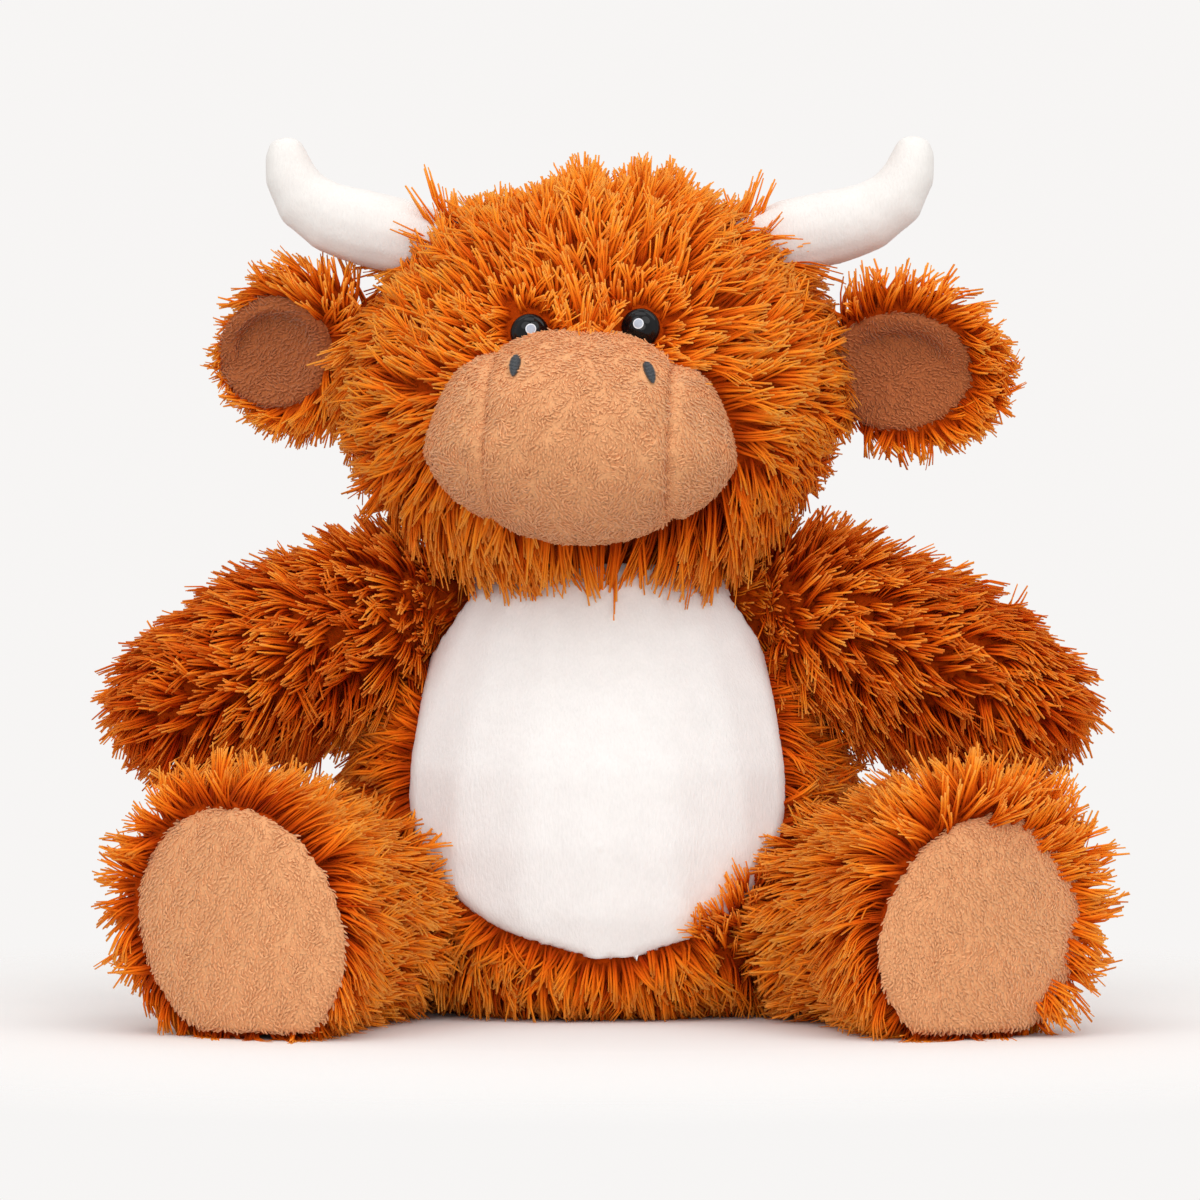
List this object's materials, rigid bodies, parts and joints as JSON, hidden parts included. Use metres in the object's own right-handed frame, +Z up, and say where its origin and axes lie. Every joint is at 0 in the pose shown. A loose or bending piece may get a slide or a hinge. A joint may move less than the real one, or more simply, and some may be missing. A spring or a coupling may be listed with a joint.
{
  "type": "plush cow",
  "caption": "Seated long-haired plush cow with stuffed horns, drooping lined ears, panelled muzzle, pale belly panel, outstretched arms and forward legs with flat soles.",
  "frame": {"origin": "middle of the seat, on the surface that the cow sits on", "axes": "+Z up, the cow faces -Y, and its left arm points towards +X"},
  "size_m": [0.2976, 0.2028, 0.2801],
  "materials": {
    "orange_fur": "long shaggy two-tone pile, deep red-orange roots and light orange tips",
    "tan_minky": "short soft pile",
    "white_plush": "short soft pile",
    "fibre_filling": "loose polyester fibre",
    "pellet_bag": "woven bag of plastic pellets",
    "grey_thread": "satin stitch",
    "black_plastic": "gloss",
    "washer_plastic": "matte"
  },
  "bodies": {
    "torso": {"torso_skin": "orange_fur", "belly_panel": "white_plush", "torso_stuffing": "fibre_filling", "seat_pellet_bag": "pellet_bag"},
    "neck": {"neck_seam_band": "orange_fur"},
    "head": {"head_skin": "orange_fur", "head_stuffing": "fibre_filling", "right_eye": "black_plastic", "left_eye": "black_plastic", "right_eye_washer": "washer_plastic", "left_eye_washer": "washer_plastic", "muzzle_centre_panel": "tan_minky", "muzzle_right_panel": "tan_minky", "muzzle_left_panel": "tan_minky", "muzzle_stuffing": "fibre_filling", "right_nostril": "grey_thread", "left_nostril": "grey_thread"},
    "right_horn_body": {"right_horn": "white_plush", "right_horn_stuffing": "fibre_filling"},
    "left_horn_body": {"left_horn": "white_plush", "left_horn_stuffing": "fibre_filling"},
    "right_ear_body": {"right_ear": "orange_fur", "right_ear_lining": "tan_minky"},
    "left_ear_body": {"left_ear": "orange_fur", "left_ear_lining": "tan_minky"},
    "right_arm_body": {"right_arm": "orange_fur", "right_arm_stuffing": "fibre_filling"},
    "left_arm_body": {"left_arm": "orange_fur", "left_arm_stuffing": "fibre_filling"},
    "right_leg_body": {"right_leg": "orange_fur", "right_leg_stuffing": "fibre_filling", "right_foot_pellet_bag": "pellet_bag", "right_sole": "tan_minky"},
    "left_leg_body": {"left_leg": "orange_fur", "left_leg_stuffing": "fibre_filling", "left_foot_pellet_bag": "pellet_bag", "left_sole": "tan_minky"},
    "tail_body": {"tail": "orange_fur", "tail_tuft": "orange_fur"}
  },
  "joints": [
    {"name": "head_turn", "type": "hinge", "parent": "torso", "child": "neck", "pos_m": [0, 0.004, 0.138], "axis": [0, 0, 1], "range_deg": [-25, 25], "stiffness_Nm_per_rad": 1},
    {"name": "head_nod", "type": "hinge", "parent": "neck", "child": "head", "pos_m": [0, 0.004, 0.138], "axis": [0.9969, -0.0785, 0], "range_deg": [-12, 10], "stiffness_Nm_per_rad": 1},
    {"name": "right_horn_bend", "type": "hinge", "parent": "head", "child": "right_horn_body", "pos_m": [-0.05019, 0.00056, 0.24305], "axis": [0, 0, 1], "range_deg": [-10, 10], "stiffness_Nm_per_rad": 0.1},
    {"name": "left_horn_bend", "type": "hinge", "parent": "head", "child": "left_horn_body", "pos_m": [0.04904, -0.00725, 0.24305], "axis": [0, 0, 1], "range_deg": [-10, 10], "stiffness_Nm_per_rad": 0.1},
    {"name": "right_ear_flap", "type": "hinge", "parent": "head", "child": "right_ear_body", "pos_m": [-0.07165, 0.00733, 0.21389], "axis": [0, 0, 1], "range_deg": [-10, 30], "stiffness_Nm_per_rad": 0.03},
    {"name": "left_ear_flap", "type": "hinge", "parent": "head", "child": "left_ear_body", "pos_m": [0.07295, -0.00387, 0.20975], "axis": [0, 0, -1], "range_deg": [-25, 10], "stiffness_Nm_per_rad": 0.03},
    {"name": "right_shoulder", "type": "hinge", "parent": "torso", "child": "right_arm_body", "pos_m": [-0.05175, -0.00231, 0.12669], "axis": [0, 1, 0], "range_deg": [-5, 35], "stiffness_Nm_per_rad": 0.3},
    {"name": "left_shoulder", "type": "hinge", "parent": "torso", "child": "left_arm_body", "pos_m": [0.05175, -0.00231, 0.12669], "axis": [0, -1, 0], "range_deg": [-5, 35], "stiffness_Nm_per_rad": 0.3},
    {"name": "right_hip", "type": "hinge", "parent": "torso", "child": "right_leg_body", "pos_m": [-0.0649, -0.0346, 0.02991], "axis": [-0.8555, 0.5178, 0], "range_deg": [0, 30], "stiffness_Nm_per_rad": 0.3},
    {"name": "left_hip", "type": "hinge", "parent": "torso", "child": "left_leg_body", "pos_m": [0.0649, -0.0346, 0.02991], "axis": [-0.8405, -0.5419, 0], "range_deg": [0, 30], "stiffness_Nm_per_rad": 0.3},
    {"name": "tail_swing", "type": "hinge", "parent": "torso", "child": "tail_body", "pos_m": [0.00001, 0.05348, 0.06714], "axis": [0, 1, 0], "range_deg": [-35, 35], "stiffness_Nm_per_rad": 0.01}
  ]
}
